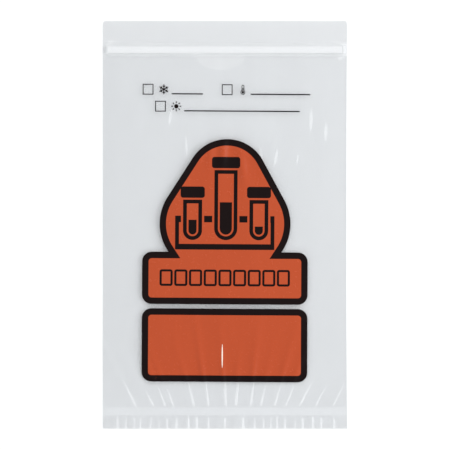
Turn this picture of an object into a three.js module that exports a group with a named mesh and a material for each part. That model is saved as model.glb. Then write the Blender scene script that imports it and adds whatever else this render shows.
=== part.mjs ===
// Specimen transport bag: a clear film pouch with a press-to-close zip, lying flat on its back.
// Millimetres. X is the width, Y the length with the mouth at +Y, Z is up from the resting face.
import * as THREE from 'three';

// The bag as a whole
const bagWidth = 152.4;
const bagLength = 254;
const filmThickness = 0.05;

// Welds: a bead down each long side, a band across the bottom and loose film below the band
const sideWeldWidth = 1.5;
const skirtLength = 8.4;
const sealBandHeight = 5;

// Press-to-close zip across the mouth
const lipLength = 16;
const zipFlangeWidth = 4;
const zipFlangeThickness = 0.2;
const zipEndRamp = 1;
const jawWidth = 0.4;
const jawSpacing = 1.4;
const jawHeight = 0.7;
const jawLipDepth = 0.25;
const jawLipHeight = 0.2;
const ribStemWidth = 0.4;
const ribHeadOverhang = 0.35;
const ribHeadLength = 0.3;
const ribTipWidth = 0.5;
const zipClearance = 0.1;

// Air left in the pocket lifts the front wall, and the two lips stand a little apart
const pocketCrown = 5;
const crownSquarenessAcross = 3;
const crownSquarenessAlong = 4;
const lipGap = 0.6;

// Document pouch: a third wall behind the back one, with a thumb notch in its open top edge
const pouchBelowZip = 1.5;
const thumbNotchWidth = 31;
const thumbNotchDepth = 9;
const thumbNotchCentre = -3;

// Number of film panels across the width, along the pocket and along the lip
const panelsAcross = 22;
const panelsAlongPocket = 28;
const panelsAlongLip = 3;
const notchSegments = 20;

// Places worked out from the sizes above
const topEdge = bagLength / 2;
const bottomEdge = -topEdge;
const sealBottom = bottomEdge + skirtLength;
const sealTop = sealBottom + sealBandHeight;
const zipTop = topEdge - lipLength;
const zipCentre = zipTop - zipFlangeWidth / 2;
const zipBottom = zipTop - zipFlangeWidth;
const sideEdge = bagWidth / 2;
const weldInside = sideEdge - sideWeldWidth;
const zipHalfLength = weldInside - zipEndRamp;
const pouchWallBase = 0;
const backWallBase = pouchWallBase + filmThickness;
const innerFloor = backWallBase + filmThickness;
const zipStack = zipFlangeThickness + jawHeight + zipClearance + zipFlangeThickness;

const filmColour = new THREE.Color(0xdfe3e6);
const zipColour = new THREE.Color(0xeef1f3);

function filmMaterial() {
  return new THREE.MeshStandardMaterial({
    color: filmColour,
    roughness: 0.18,
    metalness: 0,
    transparent: true,
    opacity: 0.3,
  });
}

function zipMaterial() {
  return new THREE.MeshStandardMaterial({
    color: zipColour,
    roughness: 0.3,
    metalness: 0,
    transparent: true,
    opacity: 0.7,
  });
}

function named(name, geometry, material) {
  const mesh = new THREE.Mesh(geometry, material);
  mesh.name = name;
  return mesh;
}

// Evenly spaced values from first to last, both included
function spaced(first, last, steps) {
  return Array.from({ length: steps + 1 }, (_, i) => first + ((last - first) * i) / steps);
}

// One closed sheet of film over a grid of panels. Both faces share their diagonals, so the
// sheet keeps its thickness where a panel is twisted.
function filmSheet(acrossAt, alongAt, undersideAt) {
  const columns = acrossAt.length;
  const rows = alongAt.length;
  const layer = columns * rows;
  const positions = [];
  for (const rise of [0, filmThickness]) {
    for (const y of alongAt) {
      for (const x of acrossAt) {
        positions.push(x, y, undersideAt(x, y) + rise);
      }
    }
  }
  const triangles = [];
  for (let row = 0; row < rows - 1; row += 1) {
    for (let column = 0; column < columns - 1; column += 1) {
      const a = row * columns + column;
      const b = a + 1;
      const c = b + columns;
      const d = a + columns;
      triangles.push(a, c, b, a, d, c);
      triangles.push(a + layer, b + layer, c + layer, a + layer, c + layer, d + layer);
    }
  }
  const rim = [
    ...spaced(0, columns - 1, columns - 1),
    ...spaced(2, rows, rows - 2).map((row) => row * columns - 1),
    ...spaced(layer - 1, layer - columns, columns - 1),
    ...spaced(rows - 2, 1, rows - 3).map((row) => row * columns),
  ];
  rim.forEach((from, i) => {
    const to = rim[(i + 1) % rim.length];
    triangles.push(from, to, to + layer, from, to + layer, from + layer);
  });
  const geometry = new THREE.BufferGeometry();
  geometry.setAttribute('position', new THREE.Float32BufferAttribute(positions, 3));
  geometry.setIndex(triangles);
  geometry.computeVertexNormals();
  return geometry;
}

// How far the front wall stands above the back wall
function pocketOpening(x, y) {
  if (Math.abs(x) >= weldInside || y <= sealTop) {
    return 0;
  }
  if (y >= zipTop) {
    const towardEdge = (y - zipTop) / (topEdge - zipTop);
    return zipStack + (lipGap - zipStack) * towardEdge;
  }
  if (y >= zipBottom) {
    return zipStack;
  }
  const across = Math.abs(x) / weldInside;
  const along = (2 * (y - sealTop)) / (zipBottom - sealTop) - 1;
  const crownAcross = 1 - across ** crownSquarenessAcross;
  const crownAlong = 1 - Math.abs(along) ** crownSquarenessAlong;
  const towardZip = (1 + along) / 2;
  const held = zipStack * towardZip ** crownSquarenessAlong;
  return held + (pocketCrown - held) * crownAcross * crownAlong;
}

// Front wall, full length, raised by the air in the pocket and by the zip
function frontWall() {
  const acrossAt = [
    -sideEdge,
    -weldInside,
    ...spaced(-zipHalfLength, zipHalfLength, panelsAcross),
    weldInside,
    sideEdge,
  ];
  const alongAt = [
    bottomEdge,
    sealBottom,
    ...spaced(sealTop, zipBottom, panelsAlongPocket),
    ...spaced(zipTop, topEdge, panelsAlongLip),
  ];
  return filmSheet(acrossAt, alongAt, (x, y) => innerFloor + pocketOpening(x, y));
}

// Back wall, full length and flat
function backWall() {
  const geometry = new THREE.BoxGeometry(bagWidth, bagLength, filmThickness);
  geometry.translate(0, 0, backWallBase + filmThickness / 2);
  return geometry;
}

// Pouch wall, flat, from the bottom edge to just below the zip, notched for a thumb
function pouchWall() {
  const pouchTop = zipBottom - pouchBelowZip;
  const halfNotch = thumbNotchWidth / 2;
  const notchRadius = (halfNotch ** 2 + thumbNotchDepth ** 2) / (2 * thumbNotchDepth);
  const arcCentre = pouchTop - thumbNotchDepth + notchRadius;
  const arcHalfAngle = Math.asin(halfNotch / notchRadius);
  const outline = new THREE.Shape();
  outline.moveTo(-sideEdge, bottomEdge);
  outline.lineTo(sideEdge, bottomEdge);
  outline.lineTo(sideEdge, pouchTop);
  outline.lineTo(thumbNotchCentre + halfNotch, pouchTop);
  outline.absarc(
    thumbNotchCentre,
    arcCentre,
    notchRadius,
    -Math.PI / 2 + arcHalfAngle,
    -Math.PI / 2 - arcHalfAngle,
    true,
  );
  outline.lineTo(-sideEdge, pouchTop);
  outline.closePath();
  const geometry = new THREE.ExtrudeGeometry(outline, {
    depth: filmThickness,
    bevelEnabled: false,
    curveSegments: notchSegments,
  });
  geometry.translate(0, 0, pouchWallBase);
  return geometry;
}

// A zip track is a constant section, drawn as (along the bag, height) and run across the width
function zipTrack(section) {
  const outline = new THREE.Shape(section.map(([along, height]) => new THREE.Vector2(along, height)));
  const geometry = new THREE.ExtrudeGeometry(outline, {
    depth: 2 * zipHalfLength,
    bevelEnabled: false,
  });
  geometry.translate(0, 0, -zipHalfLength);
  const turn = new THREE.Matrix4().makeBasis(
    new THREE.Vector3(0, 1, 0),
    new THREE.Vector3(0, 0, 1),
    new THREE.Vector3(1, 0, 0),
  );
  geometry.applyMatrix4(turn);
  geometry.translate(0, zipCentre, innerFloor);
  return geometry;
}

// Groove track on the back wall: a flange with two hooked jaws
function zipGroove() {
  const flange = zipFlangeWidth / 2;
  const inside = jawSpacing / 2;
  const outside = inside + jawWidth;
  const hook = inside - jawLipDepth;
  const jawTop = zipFlangeThickness + jawHeight;
  const hookBottom = jawTop - jawLipHeight;
  return zipTrack([
    [-flange, 0],
    [flange, 0],
    [flange, zipFlangeThickness],
    [outside, zipFlangeThickness],
    [outside, jawTop],
    [hook, jawTop],
    [hook, hookBottom],
    [inside, hookBottom],
    [inside, zipFlangeThickness],
    [-inside, zipFlangeThickness],
    [-inside, hookBottom],
    [-hook, hookBottom],
    [-hook, jawTop],
    [-outside, jawTop],
    [-outside, zipFlangeThickness],
    [-flange, zipFlangeThickness],
  ]);
}

// Rib track on the front wall: a flange with an arrow-headed rib that snaps behind the jaws
function zipRib() {
  const flange = zipFlangeWidth / 2;
  const stem = ribStemWidth / 2;
  const head = stem + ribHeadOverhang;
  const tip = ribTipWidth / 2;
  const flangeUnderside = zipStack - zipFlangeThickness;
  const headTop = zipFlangeThickness + jawHeight - jawLipHeight - zipClearance;
  const tipHeight = headTop - ribHeadLength;
  return zipTrack([
    [-flange, zipStack],
    [-flange, flangeUnderside],
    [-stem, flangeUnderside],
    [-stem, headTop],
    [-head, headTop],
    [-tip, tipHeight],
    [tip, tipHeight],
    [head, headTop],
    [stem, headTop],
    [stem, flangeUnderside],
    [flange, flangeUnderside],
    [flange, zipStack],
  ]);
}

const bag = new THREE.Group();
bag.add(named('front_wall', frontWall(), filmMaterial()));
bag.add(named('back_wall', backWall(), filmMaterial()));
bag.add(named('document_pouch_wall', pouchWall(), filmMaterial()));
bag.add(named('zip_groove_track', zipGroove(), zipMaterial()));
bag.add(named('zip_rib_track', zipRib(), zipMaterial()));

export default bag;
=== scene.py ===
"""A clear film specimen transport bag lying face up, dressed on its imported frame.

Sizes are in millimetres and are laid in metres, with the mouth at +Y.
"""

import math
import random

import bmesh
import bpy
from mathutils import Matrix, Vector, noise


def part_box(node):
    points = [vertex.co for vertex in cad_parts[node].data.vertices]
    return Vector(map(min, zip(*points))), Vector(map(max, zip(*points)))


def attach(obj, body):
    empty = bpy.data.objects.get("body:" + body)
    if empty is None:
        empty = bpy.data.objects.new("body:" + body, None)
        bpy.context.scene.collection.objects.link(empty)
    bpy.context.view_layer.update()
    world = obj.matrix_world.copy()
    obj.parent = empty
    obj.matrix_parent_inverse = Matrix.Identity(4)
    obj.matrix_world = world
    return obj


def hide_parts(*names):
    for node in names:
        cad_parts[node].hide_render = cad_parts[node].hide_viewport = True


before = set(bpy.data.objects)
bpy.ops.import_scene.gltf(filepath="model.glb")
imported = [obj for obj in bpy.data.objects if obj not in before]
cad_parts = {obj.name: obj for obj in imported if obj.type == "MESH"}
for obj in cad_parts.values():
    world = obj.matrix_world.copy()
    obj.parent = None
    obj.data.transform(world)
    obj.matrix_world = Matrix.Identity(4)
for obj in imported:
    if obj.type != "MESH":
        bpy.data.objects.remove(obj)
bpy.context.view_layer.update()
MM = 0.001


# How the bag lies
# Three walls of thin film are welded down both sides and across the bottom. A little air is left
# between the front wall and the other two, so the front stands up in a low crown that the welds
# gather into pleats, and the loose film below the bottom weld flutes.
LOW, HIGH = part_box("front_wall")
HALF_WIDTH = HIGH.x / MM
TOP_EDGE = HIGH.y / MM
BOTTOM_EDGE = LOW.y / MM
ZIP_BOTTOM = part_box("zip_rib_track")[0].y / MM
ZIP_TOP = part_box("zip_rib_track")[1].y / MM
ZIP_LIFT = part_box("zip_rib_track")[1].z / MM
CROWN = HIGH.z / MM

# The film, the distance from one wall to the next, the welds and the loose skirt
FILM = 0.05
WALL_PITCH = 0.09
SIDE_WELD = 1.4
ZIP_WELD = 0.15
SKIRT = 8.3
SEAL_BAND = 5.0
SEAL_BOTTOM = BOTTOM_EDGE + SKIRT
SEAL_TOP = SEAL_BOTTOM + SEAL_BAND

# The rounding of the top corners, and how far the slack film draws the right side in
CORNER = 1.3
PULL_IN = 0.6

# How high the zip holds the front wall, and the bead that shows along its middle
OVER_ZIP = 0.03
ZIP_HELD = ZIP_LIFT - 2 * WALL_PITCH + FILM + OVER_ZIP
BEAD_RISE = 0.16
BEAD_HALF_WIDTH = 1.1
BEAD_END = 3.0

# The pocket is not blown up to its fullest, and its film stands steeper at the left weld
NOT_FULL = 1.9
LEFT_SHOULDER = 3.2
RIGHT_SHOULDER = 2.0
CROWN_SQUARENESS = 4
HELD_SQUARENESS = 6

# How wide the front wall's slope beside a weld is at the zip, how much wider it is below the zip
# and on the lip, and over what distance from the zip it changes
SLOPE_AT_ZIP = 2.2
SLOPE_BELOW_ZIP = 9
SLOPE_ON_LIP = 8
BELOW_ZIP_REACH = 7
WELD_REACH = 3
LIP_REACH = 5

# The height from which the film is slack, how slack the lip is, and how far its edge sinks
SLACK_HEIGHT = 1.5
LIP_SLACK = 0.5
LIP_SINKS = 0.35


def smooth(value):
    """An even step from 0 to 1."""
    held = min(1.0, max(0.0, value))
    return held * held * (3 - 2 * held)


def bump(distance, half_width):
    """A rounded ridge, 1 on its crest."""
    return math.exp(-((distance / half_width) ** 2))


# Pleats that the bottom weld gathers: where each starts on the weld, and how far it leans
chance = random.Random(12)
LEFT_PLEATS = (-56.5, -45.3, -38, -33, -20.3, -11.2, -0.5)
RIGHT_PLEATS = (5.3, 14.8, 20.8, 29.5, 36.5, 44.8, 55, 66)
PLEATS = []
for start in LEFT_PLEATS + RIGHT_PLEATS:
    lean = max(-0.48, min(0.5, 0.0105 * start)) + chance.uniform(-0.05, 0.05)
    PLEATS.append(
        {
            "start": start,
            "lean": lean,
            "rise": chance.uniform(0.74, 0.96) * (1 - start / 180),
            "length": chance.uniform(22, 50),
            "half_width": chance.uniform(1.2, 1.5),
        }
    )

# The flutes of the loose film: centre, half width and share of the full rise
FLUTE_RISE = 1.05
FLUTES = []
place = -68.0
while place < 70:
    FLUTES.append((place, chance.uniform(1.15, 1.75), chance.uniform(0.6, 1.0)))
    place += chance.uniform(3.2, 8.0)

# Short creases of the slack upper half: centre, lean, reach, rise and half width
CREASES = []
for i in range(13):
    centre = (-58 + 10 * i + chance.uniform(-4, 4), chance.uniform(36, 70))
    half_width = chance.uniform(2.3, 3.2)
    rise = half_width * chance.uniform(0.34, 0.42) * (1 - centre[0] / 350)
    CREASES.append((centre, chance.uniform(-0.2, 0.2), chance.uniform(6, 14), rise, half_width))

# How many half widths a ridge reaches, how far the bottom weld holds the film flat, how pleats
# widen and fade upwards, and how flutes grow to the bottom edge, end at the sides and fall away
# towards the right
RIDGE_REACH = 3.5
WELD_HOLDS = 1.2
PLEAT_WIDENS_OVER = 45
PLEAT_FADE = 1.6
FLUTE_AT_WELD = 0.75
FLUTE_END = 4
FLUTE_FALLS_OVER = 500

# Soft waves of the slack film: width, length, noise seed and height
WAVES = ((17, 75, 0, 0.36), (6.5, 38, 5, 0.13), (30, 24, 9, 0.22))


def pleat_rise(x, y):
    """How far the pleats lift the front wall."""
    above = y - SEAL_TOP
    if above <= 0:
        return 0.0
    total = 0.0
    for pleat in PLEATS:
        offset = x - pleat["start"] - pleat["lean"] * above
        half_width = pleat["half_width"] * (1 + above / PLEAT_WIDENS_OVER)
        if abs(offset) < RIDGE_REACH * half_width:
            fade = math.exp(-((above / pleat["length"]) ** PLEAT_FADE)) * smooth(above / WELD_HOLDS)
            total += pleat["rise"] * fade * bump(offset, half_width)
    return total


def flute_rise(x, y):
    """How far the flutes lift the loose film below the bottom weld."""
    below = SEAL_BOTTOM - y
    if below <= 0:
        return 0.0
    toward_edge = FLUTE_AT_WELD * smooth(below / WELD_HOLDS) + (1 - FLUTE_AT_WELD) * below / SKIRT
    side = smooth((HALF_WIDTH - abs(x)) / FLUTE_END)
    total = sum(share * bump(x - centre, half) for centre, half, share in FLUTES)
    return FLUTE_RISE * (1 - x / FLUTE_FALLS_OVER) * toward_edge * side * total


def crease_rise(x, y):
    """How far the short creases lift the front wall."""
    total = 0.0
    for (centre_x, centre_y), lean, reach, rise, half_width in CREASES:
        along = y - centre_y
        offset = x - centre_x - lean * along
        if abs(along) < 3 * reach and abs(offset) < RIDGE_REACH * half_width:
            total += rise * bump(along, reach) * bump(offset, half_width)
    return total


def crown_rise(x, y):
    """How far the air and the zip hold the front wall off the back one."""
    off_zip = smooth((ZIP_BOTTOM - y) / BELOW_ZIP_REACH)
    on_lip = smooth((y - ZIP_TOP) / LIP_REACH)
    weld = ZIP_WELD + (SIDE_WELD - ZIP_WELD) * smooth((ZIP_BOTTOM - y) / WELD_REACH)
    slope = SLOPE_AT_ZIP + SLOPE_BELOW_ZIP * off_zip + SLOPE_ON_LIP * on_lip
    edge = smooth((HALF_WIDTH - weld - abs(x)) / slope)
    if y <= SEAL_TOP:
        return 0.0
    if y >= ZIP_BOTTOM:
        return ZIP_HELD * edge
    across = abs(x) / (HALF_WIDTH - SIDE_WELD)
    along = 2 * (y - SEAL_TOP) / (ZIP_BOTTOM - SEAL_TOP) - 1
    crown_across = max(0.0, 1 - across ** (LEFT_SHOULDER if x < 0 else RIGHT_SHOULDER))
    crown_along = 1 - abs(along) ** CROWN_SQUARENESS
    held = ZIP_HELD * ((1 + along) / 2) ** HELD_SQUARENESS * edge
    return held + (CROWN - NOT_FULL - 2 * WALL_PITCH - held) * crown_across * crown_along


def slack(x, y, seed):
    """How far the soft waves of the slack film lift it."""
    return sum(
        height * noise.noise(Vector((x / width, y / length, seed + own_seed)))
        for width, length, own_seed, height in WAVES
    )


def front_place(x, y):
    """Where a point of the flat front wall lies, in millimetres."""
    crown = crown_rise(x, y)
    free = smooth(crown / SLACK_HEIGHT)
    if y > ZIP_TOP:
        toward_lip = (y - ZIP_TOP) / (TOP_EDGE - ZIP_TOP)
        free = LIP_SLACK * smooth(toward_lip)
        crown *= 1 - LIP_SINKS * toward_lip
    elif y > ZIP_BOTTOM:
        free = 0.0
    height = 2 * WALL_PITCH + crown + free * (slack(x, y, 1.5) + crease_rise(x, y))
    height += pleat_rise(x, y) + flute_rise(x, y)
    zip_bead = BEAD_RISE * bump(y - (ZIP_TOP + ZIP_BOTTOM) / 2, BEAD_HALF_WIDTH)
    zip_bead *= smooth((HALF_WIDTH - abs(x)) / BEAD_END)
    middle = 1 - abs(2 * (y - BOTTOM_EDGE) / (TOP_EDGE - BOTTOM_EDGE) - 1) ** 3
    pulled = x * (1 - PULL_IN * middle / HALF_WIDTH) if x > 0 else x
    into_corner = max(0.0, y - TOP_EDGE + CORNER)
    pulled *= 1 - (CORNER - math.sqrt(CORNER**2 - into_corner**2)) / HALF_WIDTH
    return pulled, y, max(2 * WALL_PITCH, height + zip_bead)


# Front wall
# The outer sheet of the bag, blown film cut with the others by the hot knife that welds the sides.
# It is glossy with a slight milky haze, and the print is on its outside.
FINE_ROWS = 45.0


def grid_lines(low, high, step):
    """Evenly spaced grid lines, ends included."""
    count = max(1, round((high - low) / step))
    return [low + (high - low) * i / count for i in range(count + 1)]


COLUMNS = grid_lines(-HALF_WIDTH, HALF_WIDTH, 0.7)
ROWS = (
    grid_lines(BOTTOM_EDGE, SEAL_TOP + FINE_ROWS, 1.0)
    + grid_lines(SEAL_TOP + FINE_ROWS, ZIP_BOTTOM - 3, 2.0)[1:]
    + grid_lines(ZIP_BOTTOM - 3, TOP_EDGE, 0.5)[1:]
)


def finished(shape, name, thickness):
    """Gives a sheet its thickness, smooths it and makes it an object."""
    bmesh.ops.recalc_face_normals(shape, faces=shape.faces)
    if sum(face.normal.z for face in shape.faces) < 0:
        bmesh.ops.reverse_faces(shape, faces=shape.faces)
    bmesh.ops.solidify(shape, geom=shape.faces[:], thickness=thickness)
    bmesh.ops.recalc_face_normals(shape, faces=shape.faces)
    mesh = bpy.data.meshes.new(name)
    shape.to_mesh(mesh)
    shape.free()
    mesh.shade_smooth()
    mesh.set_sharp_from_angle(angle=math.radians(60))
    piece = bpy.data.objects.new(name, mesh)
    bpy.context.scene.collection.objects.link(piece)
    return piece


def film_sheet(name, columns, rows, place_of, thickness=FILM):
    """A sheet of film on the given grid lines, laid where place_of says."""
    sheet = bmesh.new()
    across, along = len(columns) - 1, len(rows) - 1
    bmesh.ops.create_grid(sheet, x_segments=across, y_segments=along, size=1.0)
    for corner in sheet.verts:
        x = columns[round((corner.co.x + 1) / 2 * across)]
        y = rows[round((corner.co.y + 1) / 2 * along)]
        corner.co = Vector(place_of(x, y)) * MM
    return finished(sheet, name, thickness * MM)


class Value:
    """A shader value that Python's own operators add maths nodes to."""

    def __init__(self, tree, socket):
        self.tree = tree
        self.socket = socket

    def maths(self, operation, *others, flip=False):
        node = self.tree.nodes.new("ShaderNodeMath")
        node.operation = operation
        terms = (*others, self) if flip else (self, *others)
        for slot, term in zip(node.inputs, terms):
            if isinstance(term, Value):
                self.tree.links.new(term.socket, slot)
            else:
                slot.default_value = term
        return Value(self.tree, node.outputs[0])

    def __add__(self, other):
        return self.maths("ADD", other)

    def __rsub__(self, other):
        return self.maths("SUBTRACT", other, flip=True)

    def __mul__(self, other):
        return self.maths("MULTIPLY", other)

    def __pow__(self, other):
        return self.maths("POWER", other)

    __radd__ = __add__
    __rmul__ = __mul__


class Finish:
    """A material made of nodes."""

    def __init__(self, name):
        self.material = bpy.data.materials.new(name)
        self.material.use_nodes = True
        self.tree = self.material.node_tree
        self.tree.nodes.clear()

    def node(self, kind, settings=None, output=0, **sockets):
        """Adds a node, sets it up, and gives its output."""
        made = self.tree.nodes.new("ShaderNode" + kind)
        for key, value in (settings or {}).items():
            setattr(made, key, value)
        for key, value in sockets.items():
            slot = made.inputs[int(key[1:]) if key[1:].isdigit() else key.replace("_", " ")]
            if isinstance(value, Value):
                self.tree.links.new(value.socket, slot)
            else:
                slot.default_value = value
        return Value(self.tree, made.outputs[output])

    def soft_step(self, value, start, width):
        """Rises softly from 0 to 1 over a width, both in millimetres."""
        return self.node(
            "MapRange",
            {"interpolation_type": "SMOOTHSTEP"},
            Value=value,
            From_Min=start * MM,
            From_Max=(start + width) * MM,
        )

    def surface(self, shader):
        """Ends the material in this shader."""
        end = self.tree.nodes.new("ShaderNodeOutputMaterial")
        self.tree.links.new(shader.socket, end.inputs["Surface"])
        return self.material


# The film's milky band over the zip, which also runs on past the zip's edges as painted light over
# the
# shade the zip casts: how far past the zip it starts and ends, how softly, and how far in from the
# sides the crushed zip dulls the film
BAND_BELOW, BAND_FOOT = 3.4, 3.0
BAND_ABOVE, BAND_HEAD = 0.4, 3.2
DULL_ENDS, DULLED = 3.0, 0.85

# The looks that all three walls share
FILM_ROUGHNESS = 0.14
HAZE_COLOUR = (0.96, 0.975, 0.985, 1)
CLOUD_SCALE = 55.0
WALL_HAZE = 0.025
WALL_TINT = (0.97, 0.9728, 0.9749)
FUSED_WELD = 0.9


def film_finish(name, haze, tint, shine, seed, fused=0.0, zip_milk_and_light=0.0):
    """Clear polyethylene, glossier at a slant, a little hazy, milky at the zip with painted light
    past its edges, and dull in welds.
    """
    film = Finish(name)
    where = film.node("TexCoord", output="Object")
    slant = film.node("LayerWeight", output="Facing", Blend=0.5)
    height = film.node("SeparateXYZ", Vector=where, output=1)
    in_weld = height.maths("COMPARE", (SEAL_BOTTOM + SEAL_TOP) / 2 * MM, SEAL_BAND / 2 * MM)
    mirror = (shine + (1 - shine) * slant**5) * (1 - fused * in_weld)
    cloud = film.node(
        "TexNoise", {"noise_dimensions": "4D"}, Vector=where, W=seed, Scale=CLOUD_SCALE, Detail=3.0
    )
    foot = film.soft_step(height, ZIP_BOTTOM - BAND_BELOW, BAND_FOOT)
    head = film.soft_step(height, ZIP_TOP + BAND_ABOVE, BAND_HEAD)
    at_zip = foot * (1 - head)
    aside = film.node("SeparateXYZ", Vector=where, output=0).maths("ABSOLUTE")
    zip_end = DULLED * aside.maths("GREATER_THAN", (HALF_WIDTH - DULL_ENDS) * MM) * at_zip
    # Haze and milky zip plastic, plus painted light where the band runs past the zip over the shade
    # it casts
    milk_and_painted_light = haze * (0.7 + 0.6 * cloud) + zip_milk_and_light * at_zip
    clear = film.node("BsdfTransparent", Color=(*tint, 1))
    gloss = film.node("BsdfAnisotropic", Color=(1, 1, 1, 1), Roughness=FILM_ROUGHNESS)
    cast = film.node("BsdfDiffuse", Color=HAZE_COLOUR)
    body = film.node("MixShader", _0=milk_and_painted_light, _1=clear, _2=cast)
    return film.surface(film.node("MixShader", _0=mirror * (1 - zip_end), _1=body, _2=gloss))


front = film_sheet("front_film", COLUMNS, ROWS, front_place)
front_finish = film_finish("front film", WALL_HAZE, WALL_TINT, shine=0.045, seed=1.0, zip_milk_and_light=0.2)
front.data.materials.append(front_finish)
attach(front, "root")
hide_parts("front_wall")


# Back wall
# The second full sheet of the same film. It lies almost flat on the pouch wall.
BACK_COLUMNS = grid_lines(-HALF_WIDTH, HALF_WIDTH, 1.6)
BACK_FINE_ROWS = 20
FOLLOWS_CROWN = 0.12
FOLLOWS_FLUTES = 0.9
FOLLOWS_UP_TO = 1.2


def back_rows(top):
    """Grid lines of a rear wall from the bottom edge up, finer at the pleats."""
    fine_top = SEAL_TOP + BACK_FINE_ROWS
    return grid_lines(BOTTOM_EDGE, fine_top, 1.2) + grid_lines(fine_top, top, 2.5)[1:]


def back_place(x, y):
    """Where a point of the back wall lies. It follows the front wall's rise a little."""
    pulled, along, top = front_place(x, y)
    rise = top - 2 * WALL_PITCH
    share = FOLLOWS_CROWN if y > SEAL_TOP else FOLLOWS_FLUTES
    if y > ZIP_BOTTOM:
        share = 0.0
    return pulled, along, WALL_PITCH + share * min(rise, FOLLOWS_UP_TO)


back = film_sheet("back_film", BACK_COLUMNS, back_rows(TOP_EDGE), back_place)
back_finish = film_finish("back film", WALL_HAZE, WALL_TINT, shine=0.04, seed=2.0, fused=FUSED_WELD)
back.data.materials.append(back_finish)
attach(back, "root")
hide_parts("back_wall")


# Document pouch wall
# A third sheet behind the back one, open just below the zip, for the request form. Its top edge
# has a thumb notch.
POUCH_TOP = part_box("document_pouch_wall")[1].y / MM
NOTCH_CENTRE = -3.0
NOTCH_HALF = 15.5
NOTCH_DEPTH = 9.0


def pouch_place(x, y):
    """Where a point of the pouch wall lies. The topmost rows bend down round the notch."""
    share = max(0.0, (y - (POUCH_TOP - 2 * NOTCH_DEPTH)) / (2 * NOTCH_DEPTH))
    inside = max(0.0, 1 - ((x - NOTCH_CENTRE) / NOTCH_HALF) ** 2)
    dipped = y - share * NOTCH_DEPTH * math.sqrt(inside)
    pulled, along, top = back_place(x, dipped)
    return pulled, along, top - WALL_PITCH + FILM


pouch = film_sheet("pouch_film", BACK_COLUMNS, back_rows(POUCH_TOP), pouch_place)
POUCH_TINT = (0.9945, 0.9955, 0.9965)
pouch_finish = film_finish("pouch film", 0.01, POUCH_TINT, shine=0.02, seed=3.0, fused=FUSED_WELD)
pouch.data.materials.append(pouch_finish)
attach(pouch, "root")
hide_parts("document_pouch_wall")


# Zip tracks
# Two extruded strips of the same plastic, thick enough to look milky. The rib on the front wall
# is pressed into the groove on the back wall.
ZIP_TONE = 0.93


def zip_finish(name, milkiness=0.97, roughness=0.35, gloss=0.5):
    """Extruded polyethylene, milky where it is thick."""
    milky = Finish(name)
    clear = milky.node("BsdfTransparent", Color=(0.99, 0.995, 1, 1))
    body = milky.node(
        "BsdfPrincipled",
        Base_Color=(ZIP_TONE, ZIP_TONE + 0.005, ZIP_TONE + 0.01, 1),
        Roughness=roughness,
        Specular_IOR_Level=gloss,
    )
    return milky.surface(milky.node("MixShader", _0=milkiness, _1=clear, _2=body))


for node in ("zip_rib_track", "zip_groove_track"):
    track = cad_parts[node]
    track.data.materials.clear()
    track.data.materials.append(zip_finish(node + " plastic"))

# Where the hot knife crushed the zip into the side welds, it runs on flat to the bag's edges,
# thin, clearer and dulled by the melting
ZIP_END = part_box("zip_rib_track")[1].x / MM
CRUSHED = 0.035
CRUSHED_BELOW_FILM = 0.004
CRUSHED_OVERLAP = 0.6
CRUSHED_INSET = 0.1


def crushed_place(x, y):
    """Where a point of the crushed zip lies, just under the front wall."""
    pulled, along, top = front_place(x, y)
    return pulled, along, top - FILM - CRUSHED_BELOW_FILM


for side, name in ((-1, "left"), (1, "right")):
    outward = grid_lines(ZIP_END - CRUSHED_OVERLAP, HALF_WIDTH - CRUSHED_INSET, 0.3)
    columns = sorted(side * x for x in outward)
    rows = grid_lines(ZIP_BOTTOM, ZIP_TOP, 0.5)
    end = film_sheet(f"crushed_zip_{name}", columns, rows, crushed_place, CRUSHED)
    end_finish = zip_finish(name + " zip end plastic", milkiness=0.4, roughness=0.8, gloss=0.1)
    end.data.materials.append(end_finish)
    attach(end, "root")


# Orange print
# Two panels of opaque orange ink on the outside of the front wall.
PRINT_TILT = math.radians(-0.35)
TRAP = 1.2
ORANGE_LIFT = 0.03
INK = 0.012


def arc(centre, radius, start, end, step=5.0):
    """Points round an arc, angles in degrees counted from +X."""
    count = max(2, round(abs(end - start) / step))
    angles = [math.radians(start + (end - start) * i / count) for i in range(count + 1)]
    return [(centre[0] + radius * math.cos(a), centre[1] + radius * math.sin(a)) for a in angles]


def rounded_panel(left, bottom, right, top, radius):
    """A rectangle with round corners."""
    return (
        arc((right - radius, top - radius), radius, 90, 0)
        + arc((right - radius, bottom + radius), radius, 0, -90)
        + arc((left + radius, bottom + radius), radius, -90, -180)
        + arc((left + radius, top - radius), radius, 180, 90)
    )


def crossing(centre, radius, y):
    """How far to the side of its centre a circle crosses the height y."""
    return math.sqrt(radius**2 - (y - centre[1]) ** 2)


PANEL_LEFT, PANEL_RIGHT = -51.4, 52.0
PANEL_CORNER = 6.0
UPPER_TOP, UPPER_BOTTOM = -17.0, -49.5
LOWER_TOP, LOWER_BOTTOM = -52.2, -97.8
CREST_CENTRE, CREST_RADIUS = (1.2, 27.8), 25.5
CHEEK_RADIUS = 30.2
LEFT_CHEEK, RIGHT_CHEEK = (-10.5, 0.6), (10.9, 0.6)


def panel_outline(bottom, top):
    """A round-cornered rectangle as wide as the print."""
    return rounded_panel(PANEL_LEFT, bottom, PANEL_RIGHT, top, PANEL_CORNER)


def shield_outline():
    """The upper panel: a round-cornered triangle that runs into a rectangle."""
    meet_right = math.degrees(math.asin((UPPER_TOP - RIGHT_CHEEK[1]) / CHEEK_RADIUS))
    return (
        arc(CREST_CENTRE, CREST_RADIUS, 148, 30)
        + arc(RIGHT_CHEEK, CHEEK_RADIUS, 30, meet_right)
        + panel_outline(UPPER_BOTTOM, UPPER_TOP)
        + arc(LEFT_CHEEK, CHEEK_RADIUS, -180 - meet_right, -212)
    )


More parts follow.
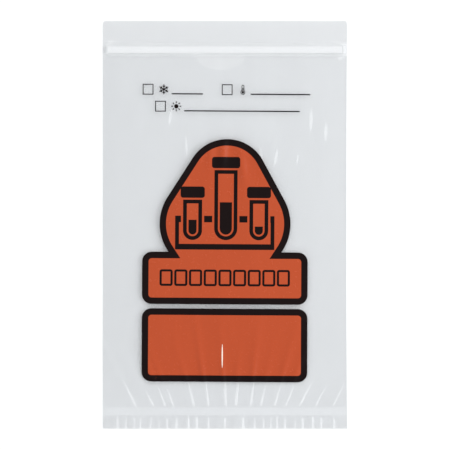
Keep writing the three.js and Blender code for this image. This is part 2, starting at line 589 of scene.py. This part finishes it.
def ink_place(x, y, lift):
    """A printed point, turned with the whole print and laid on the front wall."""
    turned_x = x * math.cos(PRINT_TILT) - y * math.sin(PRINT_TILT)
    turned_y = x * math.sin(PRINT_TILT) + y * math.cos(PRINT_TILT)
    lain_x, lain_y, height = front_place(turned_x, turned_y)
    return Vector((lain_x, lain_y, height + lift)) * MM


def outline_face(shape, points):
    """A flat face inside an outline."""
    face = shape.faces.new([shape.verts.new((x, y, 0)) for x, y in points])
    face.normal_update()
    return face


def printed(shape, name, lift, finish):
    """Cuts flat ink along the film's grid, lays it on the film and finishes it."""
    xs = [corner.co.x for corner in shape.verts]
    ys = [corner.co.y for corner in shape.verts]
    cuts_across = (COLUMNS, min(xs), max(xs), (1, 0, 0))
    cuts_along = (ROWS, min(ys), max(ys), (0, 1, 0))
    for lines, low, high, normal in (cuts_across, cuts_along):
        for line in lines:
            if low < line < high:
                bmesh.ops.bisect_plane(
                    shape,
                    geom=shape.verts[:] + shape.edges[:] + shape.faces[:],
                    dist=1e-5,
                    plane_co=Vector(normal) * line,
                    plane_no=normal,
                )
    for corner in shape.verts:
        corner.co = ink_place(corner.co.x, corner.co.y, lift)
    piece = finished(shape, name, INK * MM)
    piece.data.materials.append(finish)
    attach(piece, "root")
    return piece


def ink_finish(name, colour, deep_colour, roughness, gloss=0.22):
    """Flexographic ink: opaque, slightly uneven, with the film's own gloss through it."""
    ink = Finish(name)
    where = ink.node("TexCoord", output="Object")
    mottle = ink.node("TexNoise", Vector=where, Scale=420.0, Detail=4.0, Roughness=0.65)
    tone = ink.node(
        "Mix", {"data_type": "RGBA"}, output=2, _0=mottle, _6=(*deep_colour, 1), _7=(*colour, 1)
    )
    body = ink.node(
        "BsdfPrincipled",
        Base_Color=tone,
        Roughness=roughness + 0.12 * mottle,
        Specular_IOR_Level=gloss,
    )
    return ink.surface(body)


orange = ink_finish("orange ink", (0.475, 0.067, 0.0155), (0.445, 0.061, 0.0135), 0.2, 0.3)
panels = bmesh.new()
for outline in (shield_outline(), panel_outline(LOWER_BOTTOM, LOWER_TOP)):
    outline_face(panels, outline)
rims = bmesh.ops.inset_region(
    panels, faces=panels.faces[:], thickness=TRAP, use_boundary=True, use_even_offset=True
)
bmesh.ops.delete(panels, geom=rims["faces"], context="FACES")
PRINT = [printed(panels, "orange_panels", ORANGE_LIFT, orange)]

# A painted glint: a pale sliver on the lower panel where a short hard fold in the film catches the
# light
FOLD_CENTRE = (-1.2, -81.6)
FOLD_WIDTH, FOLD_LENGTH = 0.75, 15.0
fold = bmesh.new()
circle = arc((0, 0), 0.5, 0, 337.5, 22.5)
stretched = [(FOLD_CENTRE[0] + FOLD_WIDTH * x, FOLD_CENTRE[1] + FOLD_LENGTH * y) for x, y in circle]
outline_face(fold, stretched)
# The sliver's pale colour is a painted highlight, not a colour of the ink or film
fold_glint_finish = ink_finish("painted fold glint", (0.95, 0.85, 0.76), (0.9, 0.8, 0.7), 0.3)
PRINT.append(printed(fold, "painted_fold_glint", ORANGE_LIFT + 2 * INK, fold_glint_finish))


# Black print
# Opaque black ink, printed over the orange and its edges: borders round both panels, a rack of
# tubes, a row of cells and the check boxes.
BLACK_LIFT = 0.06
BORDER = 4.0
black = ink_finish("black ink", (0.009, 0.004, 0.004), (0.006, 0.003, 0.003), 0.3, 0.07)


def ring(shape, outline, stroke):
    """A line of ink round the inside of an outline."""
    face = outline_face(shape, outline)
    bmesh.ops.inset_region(
        shape, faces=[face], thickness=stroke, use_boundary=True, use_even_offset=True
    )
    bmesh.ops.delete(shape, geom=[face], context="FACES")


def box_outline(left, bottom, right, top):
    """A plain rectangle."""
    return [(left, top), (right, top), (right, bottom), (left, bottom)]


borders = bmesh.new()
ring(borders, shield_outline(), BORDER)
ring(borders, panel_outline(LOWER_BOTTOM, LOWER_TOP), BORDER)
PRINT.append(printed(borders, "black_borders", BLACK_LIFT, black))

# A rack of three capped specimen tubes on the upper panel
TUBE_STROKE = 2.3
TUBE_FOOT = -9.5
LIQUID_GAP = 1.1
RACK_END = 31.0
RACK_BAR = (1.5, 5.5)
RACK_FOOT = (-15.5, -12.0)
POST_WIDTH = 2.4
BAR_CLEARANCE = 1.3
CAP_OVERHANG = 1.6
CAP_FOOT = 1.2
CAP_TOP = 8.2
CAP_CORNER = 1.6

# Each tube's centre, half width, top and liquid level
TUBES = ((-20.2, 5.9, 15.5, 3.0), (0.5, 7.2, 34.0, 14.0), (21.2, 5.9, 15.5, -1.0))


def tube_outline(centre, half, top, foot):
    """A tube seen from the side, its foot half round."""
    return [(centre - half, top), (centre + half, top)] + arc((centre, foot + half), half, 0, -180)


rack = bmesh.new()
for centre, half, top, level in TUBES:
    ring(rack, tube_outline(centre, half, top, TUBE_FOOT), TUBE_STROKE)
    inside = half - TUBE_STROKE - LIQUID_GAP
    outline_face(rack, tube_outline(centre, inside, level, TUBE_FOOT + half - inside))
    cap_left, cap_right = centre - half - CAP_OVERHANG, centre + half + CAP_OVERHANG
    cap = rounded_panel(cap_left, top + CAP_FOOT, cap_right, top + CAP_TOP, CAP_CORNER)
    outline_face(rack, cap)
gaps = [
    (centre - half - BAR_CLEARANCE, centre + half + BAR_CLEARANCE)
    for centre, half, top, level in TUBES
]
bar_starts = [-RACK_END] + [right for left, right in gaps]
bar_ends = [left for left, right in gaps] + [RACK_END]
for left, right in zip(bar_starts, bar_ends):
    outline_face(rack, box_outline(left, RACK_BAR[0], right, RACK_BAR[1]))
outline_face(rack, box_outline(-RACK_END, RACK_FOOT[0], RACK_END, RACK_FOOT[1]))
for side in (-1, 1):
    inner, outer = side * (RACK_END - POST_WIDTH), side * RACK_END
    post = box_outline(min(inner, outer), RACK_FOOT[1], max(inner, outer), RACK_BAR[0])
    outline_face(rack, post)
PRINT.append(printed(rack, "tube_rack_print", BLACK_LIFT, black))

# A row of cells to write a sample number in
CELL_ROW = (-40.5, -38.2, 40.9, -27.9)
CELL_COUNT = 9
CELL_GAP = 1.0
CELL_STROKE = 1.35
CELL_CORNER = 1.5
cells = bmesh.new()
pitch = (CELL_ROW[2] - CELL_ROW[0] + CELL_GAP) / CELL_COUNT
for i in range(CELL_COUNT):
    left = CELL_ROW[0] + i * pitch
    right = left + pitch - CELL_GAP
    cell = rounded_panel(left, CELL_ROW[1], right, CELL_ROW[3], CELL_CORNER)
    ring(cells, cell, CELL_STROKE)
PRINT.append(printed(cells, "number_cells_print", BLACK_LIFT, black))

# Check boxes, each with a picture for how the sample is kept and a line to write on
BOX_SIDE = 6.7
BOX_STROKE = 0.55
LINE = 0.75
LINE_ABOVE_FOOT = 0.2
ICON = 3.1
BOX_TO_ICON = 3.4
BOX_AND_ICON_TO_LINE = 5.2

# Each box's centre, its picture and where its line ends
CHECKS = (
    (-48.4, 84.1, "flake", -14.2),
    (0.85, 84.1, "gauge", 52.9),
    (-40.6, 73.55, "sun", 46.4),
)


def turned(points, centre, angle):
    """Points turned about the origin and moved to centre."""
    c, s = math.cos(angle), math.sin(angle)
    return [(centre[0] + c * x - s * y, centre[1] + s * x + c * y) for x, y in points]


def flake(shape, centre):
    """A six-armed snowflake as one outline."""
    side = [(0.62, 0.3), (1.35, 0.3), (2.0, 0.98), (2.4, 0.62), (2.08, 0.3), (ICON, 0.3)]
    arm = [(along, -across) for along, across in side] + side[::-1]
    outline = []
    for i in range(6):
        outline += turned(arm, centre, math.radians(90 + 60 * i))
    outline_face(shape, outline)


# Radii of the thermometer's bulb and stem and of the liquid in them
BULB, STEM = 1.5, 0.85
LIQUID_BULB, LIQUID_STEM = 0.78, 0.26
LIQUID_LEVEL = 1.2
GLASS_STROKE = 0.42


def gauge(shape, centre):
    """A thermometer: a stem open at its foot into a bulb, and the liquid in them."""
    foot = (centre[0], centre[1] - ICON + BULB)
    tip = (centre[0], centre[1] + ICON - STEM)
    neck = math.degrees(math.asin(STEM / BULB))
    glass = arc(foot, BULB, 90 - neck, -270 + neck, 15) + arc(tip, STEM, 180, 0, 20)
    ring(shape, glass, GLASS_STROKE)
    neck = math.degrees(math.asin(LIQUID_STEM / LIQUID_BULB))
    liquid = arc(foot, LIQUID_BULB, 90 - neck, -270 + neck, 20)
    level = centre[1] + LIQUID_LEVEL
    liquid += [(centre[0] - LIQUID_STEM, level), (centre[0] + LIQUID_STEM, level)]
    outline_face(shape, liquid)


SUN_DISC = 1.35
RAY_START = 1.95
RAY_HALF_WIDTH = 0.3


def sun(shape, centre):
    """A disc with eight rays."""
    outline_face(shape, arc(centre, SUN_DISC, 0, 340, 20))
    for i in range(8):
        ray = box_outline(RAY_START, -RAY_HALF_WIDTH, ICON, RAY_HALF_WIDTH)
        outline_face(shape, turned(ray, centre, math.radians(45 * i)))


PICTURES = {"flake": flake, "gauge": gauge, "sun": sun}
checks = bmesh.new()
for x, y, picture, line_end in CHECKS:
    half = BOX_SIDE / 2
    ring(checks, box_outline(x - half, y - half, x + half, y + half), BOX_STROKE)
    PICTURES[picture](checks, (x + half + BOX_TO_ICON + ICON, y))
    line_start = x + half + BOX_AND_ICON_TO_LINE + 2 * ICON
    line_foot = y - half + LINE_ABOVE_FOOT
    outline_face(checks, box_outline(line_start, line_foot, line_end, line_foot + LINE))
PRINT.append(printed(checks, "check_box_print", BLACK_LIFT, black))


# Floor, light and camera
# The bag lies on a plain white table and is seen from straight above, as in the photograph.
PHOTO_WIDTH_PX = 450
BAG_LENGTH_PX = 407.6
BAG_CENTRE_PX = (225.0, 224.8)
MM_PER_PX = (TOP_EDGE - BOTTOM_EDGE) / BAG_LENGTH_PX
CAMERA_HEIGHT = 1.5
FLOOR_SIZE = 12.0
FLOOR_COLOUR = (0.92, 0.92, 0.92, 1)
SKY_COLOUR = (0.985, 0.99, 1, 1)
SKY_STRENGTH = 0.81

floor_shape = bmesh.new()
bmesh.ops.create_grid(floor_shape, x_segments=1, y_segments=1, size=FLOOR_SIZE / 2)
floor_mesh = bpy.data.meshes.new("floor")
floor_shape.to_mesh(floor_mesh)
floor_shape.free()
floor = bpy.data.objects.new("floor", floor_mesh)
bpy.context.scene.collection.objects.link(floor)
white_table = Finish("white table")
white = white_table.node("BsdfDiffuse", Color=FLOOR_COLOUR)
floor_mesh.materials.append(white_table.surface(white))

eye = bpy.data.cameras.new("camera")
eye.sensor_width = 36
eye.lens = eye.sensor_width * CAMERA_HEIGHT / (PHOTO_WIDTH_PX * MM_PER_PX * MM)
camera = bpy.data.objects.new("camera", eye)
bpy.context.scene.collection.objects.link(camera)
camera.location = (
    (PHOTO_WIDTH_PX / 2 - BAG_CENTRE_PX[0]) * MM_PER_PX * MM,
    (BAG_CENTRE_PX[1] - PHOTO_WIDTH_PX / 2) * MM_PER_PX * MM,
    CAMERA_HEIGHT,
)
bpy.context.scene.camera = camera


def softbox(name, azimuth, from_zenith, distance, width, height, radiance):
    """A soft area light aimed at the bag. Azimuth counts from +X towards +Y."""
    lamp = bpy.data.lights.new(name, "AREA")
    lamp.shape = "RECTANGLE"
    lamp.size = width
    lamp.size_y = height
    lamp.energy = radiance * math.pi * width * height
    box = bpy.data.objects.new(name, lamp)
    turn, lean = math.radians(azimuth), math.radians(from_zenith)
    aside = math.sin(lean)
    away = Vector((aside * math.cos(turn), aside * math.sin(turn), math.cos(lean)))
    box.location = away * distance
    box.rotation_euler = away.to_track_quat("Z", "Y").to_euler()
    bpy.context.scene.collection.objects.link(box)


# Name, azimuth, degrees from the zenith, distance, width, height and radiance
LAMPS = (
    ("key", -8, 46, 2.4, 2.7, 1.4, 1.6),
    ("window", 3, 66, 1.6, 1.3, 0.3, 4.5),
    ("top", 95, 40, 1.6, 1.5, 0.5, 1.8),
    ("ceiling", 40, 13, 2.4, 0.8, 0.35, 0.2),
)
for settings in LAMPS:
    softbox(*settings)

world = bpy.data.worlds.new("studio")
world.use_nodes = True
sky = world.node_tree.nodes["Background"].inputs
sky["Color"].default_value = SKY_COLOUR
sky["Strength"].default_value = SKY_STRENGTH
bpy.context.scene.world = world
bpy.context.scene.view_settings.view_transform = "Standard"
bpy.context.scene.cycles.transparent_max_bounces = 32
